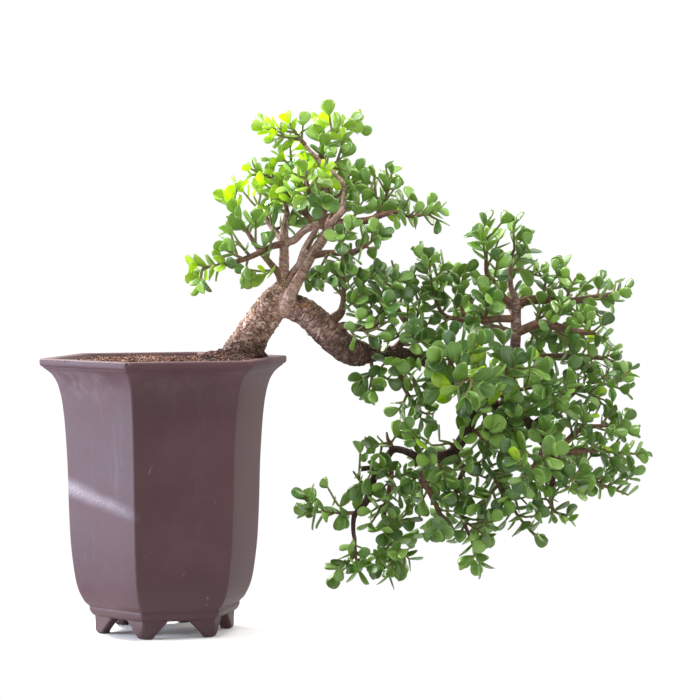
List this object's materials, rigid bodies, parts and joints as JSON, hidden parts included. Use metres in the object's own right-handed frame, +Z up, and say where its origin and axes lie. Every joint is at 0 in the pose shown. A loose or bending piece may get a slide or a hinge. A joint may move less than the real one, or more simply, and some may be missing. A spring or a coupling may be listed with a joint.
{
  "type": "cascade dwarf jade bonsai in a tall hexagonal pot",
  "caption": "Cascade-style dwarf jade bonsai: stout leaning trunk, small upright crown and a long leafy cascade, in a tall hexagonal unglazed clay pot with short feet.",
  "frame": {"origin": "middle of the whole plant and pot's footprint, on the surface that the pot's feet stand on", "axes": "+X along the way the cascade hangs out from the pot, +Y away from the viewer of the picture, +Z up"},
  "size_m": [0.5048, 0.2046, 0.4362],
  "materials": {
    "pot_clay": "unglazed, matt purple-brown stoneware with faint lighter streaks",
    "mesh_plastic": "matt black plastic mesh",
    "soil": "moist granular potting soil, matt",
    "bark": "fissured, flaking bark, matt, tan at the trunk and redder and smoother on the limbs",
    "leaf": "smooth waxy green leaves, semi-gloss, on brown shoots"
  },
  "bodies": {
    "root": {"pot": "pot_clay", "drain_mesh": "mesh_plastic", "soil": "soil", "wood": "bark", "spray_01": "leaf", "spray_02": "leaf", "spray_03": "leaf", "spray_04": "leaf", "spray_05": "leaf", "spray_06": "leaf", "spray_07": "leaf", "spray_08": "leaf", "spray_09": "leaf", "spray_10": "leaf", "spray_11": "leaf", "spray_12": "leaf", "spray_13": "leaf", "spray_14": "leaf", "spray_15": "leaf", "spray_16": "leaf", "spray_17": "leaf", "spray_18": "leaf", "spray_19": "leaf", "spray_20": "leaf", "spray_21": "leaf", "spray_22": "leaf", "spray_23": "leaf", "spray_24": "leaf", "spray_25": "leaf", "spray_26": "leaf", "spray_27": "leaf", "spray_28": "leaf", "spray_29": "leaf", "spray_30": "leaf", "spray_31": "leaf", "spray_32": "leaf", "spray_33": "leaf", "spray_34": "leaf", "spray_35": "leaf", "spray_36": "leaf", "spray_37": "leaf", "spray_38": "leaf", "spray_39": "leaf", "spray_40": "leaf", "spray_41": "leaf", "spray_42": "leaf", "spray_43": "leaf", "spray_44": "leaf", "spray_45": "leaf", "spray_46": "leaf", "spray_47": "leaf", "spray_48": "leaf", "spray_49": "leaf", "spray_50": "leaf", "spray_51": "leaf", "spray_52": "leaf", "spray_53": "leaf", "spray_54": "leaf"}
  },
  "joints": []
}
